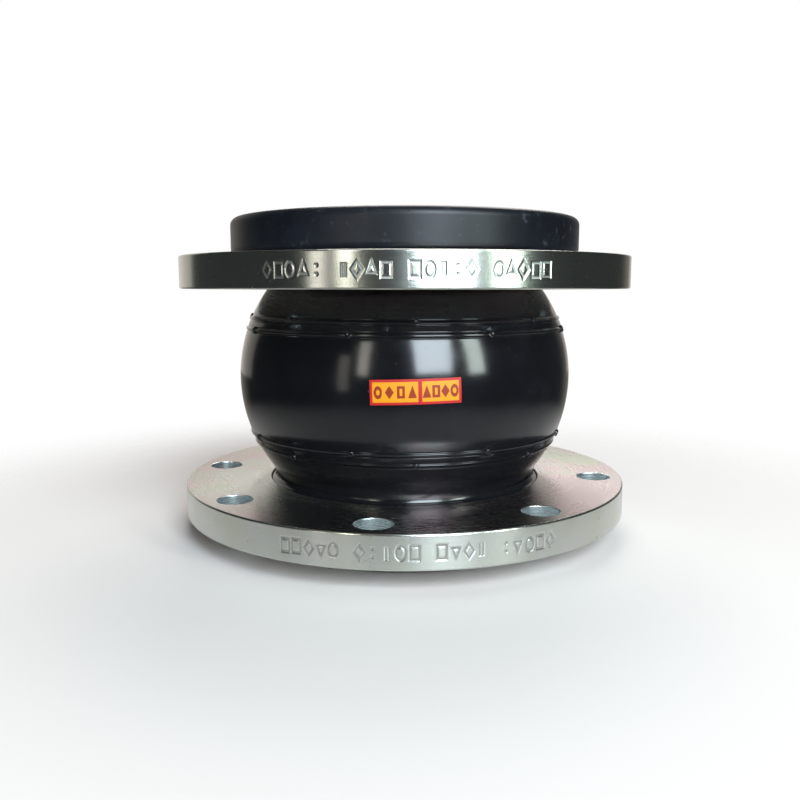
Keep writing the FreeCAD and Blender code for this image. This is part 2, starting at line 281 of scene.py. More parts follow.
class Shader:
    """The node tree of one material."""

    def __init__(self, name):
        self.material = bpy.data.materials.new(name)
        self.material.use_nodes = True
        self.tree = self.material.node_tree
        self.surface = self.tree.nodes["Principled BSDF"]
        self.place = self.node("ShaderNodeTexCoord").outputs["Object"]
        parts = self.node("ShaderNodeSeparateXYZ", Vector=self.place)
        self.x, self.y, self.z = (Value(self, parts.outputs[axis]) for axis in "XYZ")

    def node(self, kind, settings=None, **inputs):
        """Adds a node. Its settings are set first, then its sockets, by name or by number."""
        made = self.tree.nodes.new(kind)
        for key, value in (settings or {}).items():
            setattr(made, key, value)
        for key, value in inputs.items():
            self.feed(made.inputs[int(key[1:]) if key[0] == "_" else key.replace("_", " ")], value)
        return made

    def feed(self, socket, value):
        if isinstance(value, Value):
            value = value.socket
        if isinstance(value, bpy.types.NodeSocket):
            self.tree.links.new(value, socket)
        elif socket.type == "RGBA":
            socket.default_value = (*value, 1.0)
        else:
            socket.default_value = value

    def math(self, operation, a, b=0.0):
        made = self.node("ShaderNodeMath", {"operation": operation}, _0=a, _1=b)
        return Value(self, made.outputs[0])

    def vector(self, x, y, z):
        return self.node("ShaderNodeCombineXYZ", X=x, Y=y, Z=z).outputs[0]

    def noise(self, place, scale, detail=2.0, roughness=0.5):
        made = self.node("ShaderNodeTexNoise", Vector=place, Scale=scale, Detail=detail, Roughness=roughness)
        return Value(self, made.outputs["Fac"])

    def step(self, value, low, high):
        """0 below low, 1 above high, and smooth between."""
        made = self.node(
            "ShaderNodeMapRange", {"interpolation_type": "SMOOTHSTEP"}, Value=value, From_Min=low, From_Max=high
        )
        return Value(self, made.outputs["Result"])

    def mix(self, factor, a, b):
        """Colour a where factor is 0, and b where it is 1."""
        made = self.node("ShaderNodeMix", {"data_type": "RGBA"}, _0=factor, _6=a, _7=b)
        return made.outputs[2]

    def radius(self):
        """Distance from the flow axis."""
        return (self.x * self.x + self.y * self.y) ** 0.5

    def bump(self, height, distance, strength=1.0):
        made = self.node("ShaderNodeBump", Height=height, Distance=distance, Strength=strength)
        return made.outputs["Normal"]

    def finish(self, **values):
        """Sets the surface's sockets, and returns the material."""
        for key, value in values.items():
            self.feed(self.surface.inputs[key.replace("_", " ")], value)
        return self.material


# Materials


def cover_rubber(name, look, base_roughness=0.1):
    """Black rubber straight from a polished mould, with faint flow marks, dust and handling haze."""
    shader = Shader(name)
    haze = shader.noise(shader.place, 38.0, 4.0, 0.6)
    smear = shader.noise(shader.vector(shader.x * 0.6, shader.y * 0.6, shader.z * 2.4), 70.0, 5.0, 0.65)
    pits = shader.noise(shader.place, 1500.0, 2.0)
    dust = shader.step(shader.noise(shader.place, 820.0, 1.0), 0.775, 0.81)
    roughness = base_roughness + 0.09 * haze * smear * 2.0 + 0.35 * dust
    shade = shader.mix(shader.step(haze, 0.45, 0.75), tuple(look.rubber), tuple(c * 1.5 for c in look.rubber))
    shade = shader.mix(dust * 0.5, shade, (0.09, 0.085, 0.08))
    height = pits * 0.35 + smear * 0.9 + haze * 1.2
    return shader.finish(
        Base_Color=shade, Roughness=roughness, IOR=1.5, Specular_IOR_Level=0.36,
        Normal=shader.bump(height, 0.00001),
    )


def head_rubber(look):
    """The heads' rubber: satin, with a bluish bloom and fine rings left by the mould."""
    shader = Shader("head rubber")
    bloom = shader.noise(shader.place, 24.0, 5.0, 0.62)
    rings = shader.noise(shader.vector(shader.radius() * 900.0, 0.0, shader.z * 900.0), 1.0, 2.0)
    grain = shader.noise(shader.place, 1100.0, 3.0, 0.6)
    scuff = shader.step(shader.noise(shader.place, 190.0, 6.0, 0.7), 0.58, 0.7)
    shade = shader.mix(shader.step(bloom, 0.35, 0.7) * 0.45, tuple(look.head_rubber), tuple(look.bloom))
    shade = shader.mix(scuff * 0.25, shade, (0.07, 0.075, 0.085))
    roughness = 0.33 + 0.12 * bloom + 0.12 * scuff
    return shader.finish(
        Base_Color=shade, Roughness=roughness, IOR=1.5, Specular_IOR_Level=0.24,
        Normal=shader.bump(grain * 0.8 + rings * 0.35, 0.000035),
    )


def liner_rubber(look):
    """The bore's rubber, satin, with the laps of the sheet that it was wrapped from."""
    shader = Shader("liner rubber")
    laps = shader.noise(shader.vector(shader.x * 0.3, shader.y * 0.3, shader.z * 5.0), 60.0, 3.0)
    grain = shader.noise(shader.place, 900.0, 3.0)
    shade = shader.mix(laps, tuple(look.liner), tuple(c * 1.8 for c in look.liner))
    return shader.finish(
        Base_Color=shade, Roughness=0.36 + 0.16 * laps, Normal=shader.bump(grain * 0.6 + laps, 0.00004)
    )


def nylon_cord(look, name, lean):
    """A cord ply: close parallel cords on the bias, in a skin of rubber."""
    shader = Shader(name)
    turn = shader.math("ARCTAN2", shader.y, shader.x)
    along = turn * 240.0 + shader.z * (2900.0 * lean)
    cords = shader.math("SINE", along) * 0.5 + 0.5
    fuzz = shader.noise(shader.place, 1400.0, 3.0)
    shade = shader.mix(cords * 0.8 + fuzz * 0.2, tuple(c * 0.35 for c in look.nylon), tuple(look.nylon))
    return shader.finish(
        Base_Color=shade, Roughness=0.62 + 0.2 * fuzz, Normal=shader.bump(cords + fuzz * 0.2, 0.00018)
    )


def bead_steel(look):
    """Bronzed high-tensile wire."""
    shader = Shader("bead steel")
    drawn = shader.noise(shader.vector(shader.x * 8.0, shader.y * 8.0, shader.z * 3000.0), 1.0, 3.0)
    stain = shader.noise(shader.place, 120.0, 4.0)
    shade = shader.mix(stain, tuple(look.bead_wire), tuple(c * 0.55 for c in look.bead_wire))
    return shader.finish(
        Base_Color=shade, Metallic=1.0, Roughness=0.24 + 0.2 * drawn, Normal=shader.bump(drawn, 0.00001)
    )


def rim_steel(look):
    """Turned and plated rim: fine lines round the rim, which smear what it mirrors up and down."""
    shader = Shader("turned rim")
    fine = shader.noise(shader.vector(shader.x * 9.0, shader.y * 9.0, shader.z * 5200.0), 1.0, 3.0, 0.6)
    coarse = shader.noise(shader.vector(shader.x * 4.0, shader.y * 4.0, shader.z * 1300.0), 1.0, 2.0)
    cloud = shader.noise(shader.place, 42.0, 5.0, 0.6)
    blot = shader.step(shader.noise(shader.place, 300.0, 4.0, 0.6), 0.62, 0.72)
    shade = shader.mix(shader.step(cloud, 0.35, 0.65) * 0.5, tuple(look.zinc), tuple(look.zinc_green))
    shade = shader.mix(blot * 0.12, shade, (0.33, 0.33, 0.30))
    roughness = 0.19 + 0.07 * cloud + 0.05 * coarse + 0.05 * blot
    return shader.finish(
        Base_Color=shade, Metallic=1.0, Roughness=roughness, Anisotropic=0.8, Anisotropic_Rotation=0.25,
        Normal=shader.bump(fine * 0.6 + coarse, 0.000006),
    )


def stamped_steel(look):
    """Bottom of a stamped mark: duller, and painted darker than the rim as painted shade in the recess, mottled by
    noise.
    """
    shader = Shader("stamped mark")
    recess_mottle = shader.noise(shader.place, 900.0, 3.0)
    # painted shade: the recess is painted 0.8 down to 0.42 times the zinc's colour, mottled by noise
    shade = shader.mix(recess_mottle, tuple(c * 0.8 for c in look.zinc), tuple(c * 0.42 for c in look.zinc))
    return shader.finish(
        Base_Color=shade, Metallic=1.0, Roughness=0.34 + 0.12 * recess_mottle, Normal=shader.bump(recess_mottle, 0.00002)
    )


def face_steel(look):
    """Faced and plated flat: turning rings, with the pink and green tints of the passivation."""
    shader = Shader("faced flange")
    rings = shader.noise(shader.vector(shader.radius() * 3600.0, 0.0, 0.0), 1.0, 3.0, 0.6)
    broad = shader.noise(shader.vector(shader.radius() * 420.0, shader.x * 3.0, shader.y * 3.0), 1.0, 2.0)
    cloud = shader.noise(shader.place, 17.0, 4.0, 0.55)
    drift = shader.noise(shader.vector(shader.x + 0.7, shader.y, shader.z), 26.0, 5.0, 0.6)
    speck = shader.step(shader.noise(shader.place, 760.0, 1.0), 0.74, 0.78)
    shade = shader.mix(shader.step(cloud, 0.42, 0.6), tuple(look.zinc), tuple(look.zinc_pink))
    shade = shader.mix(shader.step(drift, 0.48, 0.66), shade, tuple(look.zinc_green))
    shade = shader.mix(speck * 0.5, shade, (0.10, 0.09, 0.07))
    roughness = 0.19 + 0.10 * drift + 0.06 * broad
    return shader.finish(
        Base_Color=shade, Metallic=1.0, Roughness=roughness, Anisotropic=0.6,
        Normal=shader.bump(rings * 0.6 + broad, 0.000014),
    )


def drilled_steel(look):
    """Bright wall of a bolt hole, with the drill's marks."""
    shader = Shader("drilled hole")
    marks = shader.noise(shader.vector(shader.x * 40.0, shader.y * 40.0, shader.z * 3400.0), 1.0, 3.0)
    stain = shader.noise(shader.place, 150.0, 3.0)
    shade = shader.mix(stain * 0.5, tuple(look.drilled), tuple(look.zinc))
    return shader.finish(
        Base_Color=shade, Metallic=1.0, Roughness=0.2 + 0.14 * marks, Normal=shader.bump(marks, 0.00003)
    )


def label_ink(name, tint):
    """Printed film: ink under a clear gloss, with faint print mottle."""
    shader = Shader(name)
    mottle = shader.noise(shader.place, 900.0, 3.0)
    crinkle = shader.noise(shader.place, 260.0, 2.0)
    shade = shader.mix(mottle * 0.35, tuple(tint), tuple(c * 0.72 for c in tint))
    return shader.finish(
        Base_Color=shade, Roughness=0.4 + 0.1 * mottle, Specular_IOR_Level=0.25,
        Normal=shader.bump(crinkle, 0.00003),
    )


def floor_paper(look):
    """Pale paper, which fades into the backdrop away from the object."""
    shader = Shader("studio floor")
    tone = shader.noise(shader.place, 3.0, 2.0)
    shade = shader.mix(tone * 0.06, tuple(look.floor), tuple(c * 0.95 for c in look.floor))
    shown = 1.0 - shader.step(shader.radius(), 0.15, 0.4)
    return shader.finish(Base_Color=shade, Roughness=0.9, Alpha=shown)


# Section lines. A line is a list of (r, z, corner radius) and runs upwards, with the outside on its right.


def unit(a, b):
    """Direction from point a to point b."""
    reach = math.hypot(b[0] - a[0], b[1] - a[1])
    return (b[0] - a[0]) / reach, (b[1] - a[1]) / reach


def parallel(line, shift):
    """The line moved outwards by shift, with its corners' radii changed to stay parallel."""
    ways = [unit(a, b) for a, b in zip(line, line[1:])]
    moved = []
    for i, (r, z, corner) in enumerate(line):
        before = ways[max(i - 1, 0)]
        after = ways[min(i, len(ways) - 1)]
        spread = 1 + before[0] * after[0] + before[1] * after[1]
        out_r = (before[1] + after[1]) * shift / spread
        out_z = -(before[0] + after[0]) * shift / spread
        turn = before[0] * after[1] - before[1] * after[0]
        grown = corner + shift * math.copysign(1.0, turn) if corner else 0.0
        moved.append((r + out_r, z + out_z, grown))
    return moved


def sampled(line, step=0.0005):
    """Points along the line, its corners rounded, as an array of (r, z)."""
    points = [line[0][:2]]
    for before, corner, after in zip(line, line[1:], line[2:]):
        into = unit(before, corner)
        out = unit(corner, after)
        turn = math.atan2(into[0] * out[1] - into[1] * out[0], into[0] * out[0] + into[1] * out[1])
        reach = corner[2] * math.tan(abs(turn) / 2)
        entry = (corner[0] - into[0] * reach, corner[1] - into[1] * reach)
        side = math.copysign(1.0, turn)
        middle = (entry[0] - into[1] * corner[2] * side, entry[1] + into[0] * corner[2] * side)
        arm = (entry[0] - middle[0], entry[1] - middle[1])
        count = max(2, math.ceil(abs(turn) * corner[2] / step))
        for i in range(count + 1):
            angle = turn * i / count
            points.append((
                middle[0] + arm[0] * math.cos(angle) - arm[1] * math.sin(angle),
                middle[1] + arm[0] * math.sin(angle) + arm[1] * math.cos(angle),
            ))
    points.append(line[-1][:2])
    return np.array(points)


def cover_line(wall):
    """The outside of the cover, from one sealing face to the other, without the ridges and the feet."""
    half_arch = MIDDLE_Z - wall.neck_corner
    arch_h = wall.crown_r - wall.neck_r
    slimness = half_arch / arch_h
    half_lean = (math.sqrt(slimness**2 + 1 - wall.barrel_share**2) - slimness) / (1 - wall.barrel_share)
    lean = 2 * math.atan(half_lean)
    fillet_r = wall.fillet_h / (1 - math.cos(lean))
    return [
        (wall.neck_r, 0.0, 0.0),
        (wall.neck_r, wall.neck_corner, fillet_r),
        (wall.neck_r + half_arch * math.tan(lean), MIDDLE_Z, wall.barrel_share * arch_h / (1 - math.cos(lean))),
        (wall.neck_r, LENGTH - wall.neck_corner, fillet_r),
        (wall.neck_r, LENGTH, 0.0),
    ]


def radii_at(wall, shift, heights):
    """Radius at each height of the curve parallel to the cover's outside."""
    points = sampled(parallel(cover_line(wall), shift))
    return np.interp(heights, points[:, 1], points[:, 0])


def ridge_heights(wall):
    offsets = (-wall.outer_ridge, -wall.inner_ridge, wall.inner_ridge, wall.outer_ridge)
    return [wall.ridge_middle + offset for offset in offsets]


def cover_radii(wall, heights):
    """The cover's outside at each height, with its ridges, the bands between them and the flared feet."""
    radii = radii_at(wall, 0.0, heights)
    low_outer, low_inner, high_inner, high_outer = ridge_heights(wall)
    for low, high in ((low_outer, low_inner), (high_inner, high_outer)):
        edge = 0.4 * MM
        inside = np.clip((heights - low) / edge, 0, 1) * np.clip((high - heights) / edge, 0, 1)
        radii += wall.band_h * inside
    for z in ridge_heights(wall):
        near = np.abs(heights - z) / wall.ridge_half_w
        radii += wall.ridge_h * np.clip(1 - near**2, 0, 1) ** 0.6
        radii -= wall.ridge_groove * np.exp(-(((near - 1.45) / 0.28) ** 2))
    from_face = np.minimum(heights, LENGTH - heights)
    past = np.clip((wall.foot_z + wall.foot_l - from_face) / wall.foot_l, 0, 1)
    foot = wall.neck_r + (wall.foot_r - wall.neck_r) * (1 - np.sqrt(1 - past**2))
    return np.maximum(radii, foot)


def row_heights(wall):
    """Heights of the wall's rows: every seam, close together at the ridges and the flange's ledge."""
    rows = set(SEAMS)
    for low, high in zip(SEAMS, SEAMS[1:]):
        rows.update(np.linspace(low, high, max(2, round((high - low) / (0.8 * MM)))).tolist())
    for z in ridge_heights(wall):
        rows.update(np.linspace(z - 2 * wall.ridge_half_w, z + 2 * wall.ridge_half_w, 27).tolist())
    rows.update(np.linspace(wall.foot_z, wall.foot_z + wall.foot_l, 15).tolist())
    ordered = sorted(z for z in rows if SEAMS[0] <= z <= SEAMS[-1])
    kept = [ordered[0]]
    for z in ordered[1:]:
        if z - kept[-1] > 0.04 * MM:
            kept.append(z)
        elif z in SEAMS:
            kept[-1] = z
    return np.array(kept)


# Meshes


def new_mesh(name, vertices, faces, materials, face_materials=None, normals=None):
    """A piece from arrays of points and faces. normals, if given, holds one for each corner of each face."""
    mesh = bpy.data.meshes.new(name)
    mesh.from_pydata(np.asarray(vertices).tolist(), [], [tuple(face) for face in faces])
    for material in materials:
        mesh.materials.append(material)
    if face_materials is not None:
        mesh.polygons.foreach_set("material_index", np.asarray(face_materials, np.int32))
    mesh.polygons.foreach_set("use_smooth", np.ones(len(mesh.polygons), bool))
    mesh.update()
    if normals is not None:
        mesh.normals_split_custom_set(np.asarray(normals).tolist())
    piece = bpy.data.objects.new(name, mesh)
    bpy.context.scene.collection.objects.link(piece)
    return piece


def circle_of(count):
    return np.linspace(0.0, 2 * math.pi, count, endpoint=False)


def revolved(radii, heights, angles, bulge=None):
    """Grid of points of a surface of revolution: rows by columns by 3. bulge adds to each point's radius."""
    r = np.asarray(radii)[:, None] + (0.0 if bulge is None else bulge)
    z = np.asarray(heights)[:, None] + 0.0 * angles
    return np.stack([r * np.cos(angles), r * np.sin(angles), z], axis=2)


def grid_normals(grid):
    """Outward normals of a grid whose rows run up and whose columns run anticlockwise and close."""
    up = np.gradient(grid, axis=0)
    around = np.roll(grid, -1, axis=1) - np.roll(grid, 1, axis=1)
    out = np.cross(around, up)
    return out / np.linalg.norm(out, axis=2, keepdims=True)


def quads(rows, columns, flip=False):
    """Faces between neighbouring rows of a grid that closes round the axis."""
    i = np.arange(rows - 1)[:, None] * columns
    j = np.arange(columns)[None, :]
    k = (j + 1) % columns
    faces = np.stack([i + j, i + k, i + columns + k, i + columns + j], axis=2).reshape(-1, 4)
    return faces[:, ::-1] if flip else faces


def shell(name, outer, inner, outer_normals, inner_normals, materials):
    """A closed ring between an outer and an inner grid, with flat ends."""
    rows, columns = outer.shape[:2]
    size = rows * columns
    out_faces = quads(rows, columns)
    in_faces = quads(rows, columns, flip=True)
    j = np.arange(columns)
    k = (j + 1) % columns
    last = size - columns
    foot = np.stack([j, size + j, size + k, k], axis=1)
    top = np.stack([last + j, last + k, size + last + k, size + last + j], axis=1)
    faces = np.concatenate([out_faces, in_faces + size, foot, top])
    corner_normals = np.concatenate([
        outer_normals.reshape(-1, 3)[out_faces.ravel()],
        -inner_normals.reshape(-1, 3)[in_faces.ravel()],
        np.tile([0.0, 0.0, -1.0], (foot.size, 1)),
        np.tile([0.0, 0.0, 1.0], (top.size, 1)),
    ])
    vertices = np.concatenate([outer.reshape(-1, 3), inner.reshape(-1, 3)])
    return new_mesh(name, vertices, faces, materials, normals=corner_normals)


def wall_layer(name, outer, inner, heights, materials):
    """One layer of the wall as five zones, each crossing its own joint."""
    outer_normals, inner_normals = grid_normals(outer), grid_normals(inner)
    pieces = []
    for (zone, low_body, high_body), low, high in zip(ZONES, SEAMS, SEAMS[1:]):
        rows = np.flatnonzero((heights >= low - 1e-9) & (heights <= high + 1e-9))
        part = slice(rows[0], rows[-1] + 1)
        piece = shell(
            f"{name}_{zone}", outer[part], inner[part], outer_normals[part], inner_normals[part], materials
        )
        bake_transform(piece)
        pieces.append(piece)
    return pieces


def unevenness(angles, heights, size):
    """Slow waves of a moulded surface, the same at every seam."""
    total = 0.0
    for turns, pitch, phase in WAVES:
        total = total + np.sin(turns * angles + phase) * np.cos(pitch * heights + 2 * phase) / turns
    return size * total


def even_heights(step):
    """Heights from one stiff end to the other, with every seam among them."""
    return np.array(sorted({*SEAMS, *np.arange(SEAMS[0], SEAMS[-1], step).tolist()}))


# Operators


def settings():
    return bpy.context.scene.joint_settings


class JOINT_OT_cover(bpy.types.Operator):
    """Builds the outer cover in its five zones."""

    bl_idname = "joint.cover"
    bl_label = "Outer cover"

    def execute(self, context):
        own = settings()
        heights = row_heights(own.wall)
        angles = circle_of(COVER_COLUMNS)
        waves = unevenness(angles[None, :], heights[:, None], own.wall.waviness)
        outer = revolved(cover_radii(own.wall, heights), heights, angles, waves)
        inner = revolved(radii_at(own.wall, -own.wall.cover_t, heights), heights, angles)
        rubber = cover_rubber("cover rubber", own.finish)
        pieces = wall_layer("outer_cover", outer, inner, heights, [rubber])
        for piece, zone in zip(pieces, ZONES):
            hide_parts(f"cover_{zone[0]}")
        return {"FINISHED"}


class JOINT_OT_liner(bpy.types.Operator):
    """Builds the inner liner in its five zones."""

    bl_idname = "joint.liner"
    bl_label = "Inner liner"

    def execute(self, context):
        own = settings()
        heights = even_heights(1.0 * MM)
        angles = circle_of(LINER_COLUMNS)
        outer = revolved(radii_at(own.wall, own.wall.liner_t - own.wall.wall_t, heights), heights, angles)
        inner = revolved(radii_at(own.wall, -own.wall.wall_t, heights), heights, angles)
        for piece in wall_layer("liner", outer, inner, heights, [liner_rubber(own.finish)]):
            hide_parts("inner_liner")
        return {"FINISHED"}


def carcass_layers(wall):
    """The carcass's layers as (node, inner shift, outer shift) off its middle line."""
    half = (4 * wall.ply_t + wall.middle_t + 4 * wall.layer_gap) / 2
    names = ["cord_ply_1", "cord_ply_2", "middle_rubber", "cord_ply_3", "cord_ply_4"]
    layers = []
    at = -half
    for name in names:
        thickness = wall.middle_t if name == "middle_rubber" else wall.ply_t
        layers.append((name, at, at + thickness))
        at += thickness + wall.layer_gap
    return layers, half


class JOINT_OT_carcass(bpy.types.Operator):
    """Builds the cord plies and the middle rubber: zones in the wall, and turned ends round the beads."""

    bl_idname = "joint.carcass"
    bl_label = "Carcass"

    def execute(self, context):
        own = settings()
        wall = own.wall
        layers, half = carcass_layers(wall)
        middle = -(wall.wall_t - wall.liner_t - wall.layer_gap - half)
        heights = even_heights(1.5 * MM)
        angles = circle_of(CARCASS_COLUMNS)
        for number, (node, low, high) in enumerate(layers):
            if node == "middle_rubber":
                material = cover_rubber("insulation rubber", own.finish, 0.4)
            else:
                lean = 1.0 if number % 2 else -1.0
                material = nylon_cord(own.finish, f"nylon cord {number + 1}", lean)
            outer = revolved(radii_at(wall, middle + high, heights), heights, angles)
            inner = revolved(radii_at(wall, middle + low, heights), heights, angles)
            pieces = wall_layer(node, outer, inner, heights, [material])
            for upper in (False, True):
                pieces.append(self.turned_end(wall, node, middle, low, high, material, upper))
            for piece in pieces:
                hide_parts(node)
                "black_rubber" if node == "middle_rubber" else "nylon_cord"
        return {"FINISHED"}

    @staticmethod
    def turned_end(wall, node, middle, low, high, material, upper):
        """The layer's stiff end: up the neck and round the bead."""
        neck = parallel(cover_line(wall), middle)
        neck_r = neck[0][0]
        half = carcass_layers(wall)[1]
        bead_z = wall.face_rubber_t + wall.turn_r + half
        turned_r = neck_r + 2 * wall.turn_r
        ending = [
            (turned_r, bead_z + wall.turn_up_l, 0.0),
            (turned_r, bead_z - wall.turn_r, wall.turn_r),
            (neck_r, bead_z - wall.turn_r, wall.turn_r),
        ]
        if upper:
            seam = SEAMS[-1]
            line = [*neck[2:4], *[(r, LENGTH - z, corner) for r, z, corner in reversed(ending)]]
        else:
            seam = SEAMS[0]
            line = [*ending, *neck[1:3]]
        sides = []
        for shift in (low, high):
            points = sampled(parallel(line, shift), 0.0006)
            wall_r = radii_at(wall, middle + shift, np.array([seam]))[0]
            if upper:
                points = np.vstack([(wall_r, seam), points[points[:, 1] > seam]])
            else:
                past = np.flatnonzero(points[:, 1] > seam)
                past = past[past > len(points) // 3][0]
                points = np.vstack([points[:past], (wall_r, seam)])
            sides.append(points)
        section = np.vstack([sides[1], sides[0][::-1]])
        end = "upper" if upper else "lower"
        return ring_piece(f"{node}_{end}_turn", section, [material], f"{end}_end")


def ring_piece(name, section, materials, body):
    """A closed section turned round the axis, riding on a body."""
    grid = revolved(section[:, 0], section[:, 1], circle_of(CARCASS_COLUMNS))
    faces = quads(len(section) + 1, CARCASS_COLUMNS) % (len(section) * CARCASS_COLUMNS)
    piece = new_mesh(name, grid.reshape(-1, 3), faces, materials)
    outward(piece.data)
    piece.data.set_sharp_from_angle(angle=math.radians(35))
    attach(piece, body)
    return piece


def outward(mesh):
    """Turns every face of a closed mesh outwards."""
    work = bmesh.new()
    work.from_mesh(mesh)
    bmesh.ops.remove_doubles(work, verts=work.verts, dist=1e-7)
    bmesh.ops.recalc_face_normals(work, faces=work.faces)
    work.to_mesh(mesh)
    work.free()


class JOINT_OT_vent_nubs(bpy.types.Operator):
    """Builds the trimmed vent stubs on the four ridges."""

    bl_idname = "joint.vent_nubs"
    bl_label = "Vent nubs"

    def execute(self, context):
        own = settings()
        wall = own.wall
        rubber = bpy.data.materials["cover rubber"]
        for number, z in enumerate(ridge_heights(wall)):
            inner_ridge = number in (1, 2)
            zone = next(i for i, high in enumerate(SEAMS[1:]) if z < high)
            r = cover_radii(wall, np.array([z]))[0] - 0.35 * MM
            below, above = radii_at(wall, 0.0, np.array([z - MM, z + MM]))
            lean = math.atan2(below - above, 2 * MM)
            first = FRONT + wall.nub_turn + (math.radians(24.1) if inner_ridge else 0.0)
            vertices, faces = [], []
            for turn in range(NUB_COUNT):
                self.add_nub(vertices, faces, wall, r, z, lean, first + turn * 2 * math.pi / NUB_COUNT)
            name = f"vent_nubs_{('lower_outer', 'lower_inner', 'upper_inner', 'upper_outer')[number]}"
            piece = new_mesh(name, vertices, faces, [rubber])
            piece.data.set_sharp_from_angle(angle=math.radians(50))
            SEAMS[zone + 1]
            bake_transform(piece)
        return {"FINISHED"}

    @staticmethod
    def add_nub(vertices, faces, wall, r, z, lean, angle):
        """One nub: a low disc with a rounded edge and a small pit where the stub was cut."""
        out = Vector((math.cos(angle) * math.cos(lean), math.sin(angle) * math.cos(lean), math.sin(lean)))
        side = Vector((-math.sin(angle), math.cos(angle), 0.0))
        up = out.cross(side)
        foot = Vector((r * math.cos(angle), r * math.sin(angle), z))
        profile = [(0.0, -0.6), (1.0, -0.6), (1.0, 0.45), (0.93, 0.72), (0.78, 0.93), (0.6, 1.0), (0.42, 0.97)]
        profile += [(0.3, 0.72), (0.16, 0.62), (0.0, 0.6)]
        base = len(vertices)
        for share_r, share_h in profile[1:-1]:
            for a in circle_of(NUB_COLUMNS):
                reach = side * math.cos(a) + up * math.sin(a)
                vertices.append(tuple(foot + reach * share_r * wall.nub_r + out * share_h * wall.nub_h))
        last_row = len(profile) - 3
        faces += [tuple(corner + base for corner in face) for face in quads(last_row + 1, NUB_COLUMNS).tolist()]
        for share_h, row, turned in ((profile[0][1], 0, True), (profile[-1][1], last_row, False)):
            vertices.append(tuple(foot + out * share_h * wall.nub_h))
            tip = len(vertices) - 1
            for i in range(NUB_COLUMNS):
                start = base + row * NUB_COLUMNS
                a, b = start + i, start + (i + 1) % NUB_COLUMNS
                faces.append((b, a, tip) if turned else (a, b, tip))


def stamp_shape(kind, u, v, stroke):
    """How deep a stamped mark is at each point, 0 to 1. u and v run from -1 to 1 over half the mark's height."""
    if kind == "square":
        off = np.abs(np.maximum(np.abs(u) / 0.6, np.abs(v) / 0.9) - 1) * 0.7
    elif kind == "diamond":
        off = np.abs(np.abs(u) / 0.66 + np.abs(v) / 0.95 - 1) * 0.5
    elif kind == "ring":
        off = np.abs(np.hypot(u / 0.62, v / 0.9) - 1) * 0.68
    elif kind == "wedge":
        off = np.abs(np.maximum(np.abs(u) * 1.5 + v * 0.55, -v * 1.05) - 0.5) * 0.72
    elif kind == "dots":
        off = np.minimum(np.hypot(u, v - 0.55), np.hypot(u, v + 0.55)) * 0.7
    else:
        off = np.where(np.abs(v) < 0.92, np.abs(np.abs(u) - 0.22), 9.0)
    return np.clip(1.35 - off / stroke, 0, 1)


STAMPED_ROW = [
    "diamond", "square", "ring", "wedge", "dots", None, "bars", "diamond", "wedge", "square", None,
    "square", "ring", "bars", "dots", "diamond", None, "ring", "wedge", "diamond", "square", "square",
]


def stamp_depths(flange, angles, heights, middle_angle, upside_down):
    """Depth of the stamped marks over the rim: rows by columns."""
    radius = LOWER_FLANGE[1].x
    half = flange.stamp_h / 2
    around = (np.mod(angles - middle_angle + math.pi, 2 * math.pi) - math.pi) * radius
    middle = (heights[0] + heights[-1]) / 2
    u, v = np.meshgrid(around, heights - middle)
    if upside_down:
        u, v = -u, -v
    depth = np.zeros_like(u)
    for number, kind in enumerate(STAMPED_ROW):
        if kind is None:
            continue
        jitter = 0.18 * MM * math.sin(number * 2.3)
        at = (number - (len(STAMPED_ROW) - 1) / 2) * flange.stamp_pitch + jitter
        mark = stamp_shape(kind, (u - at) / half, (v + jitter) / half, flange.stamp_stroke / half)
        depth = np.maximum(depth, mark)
    return depth * flange.stamp_depth


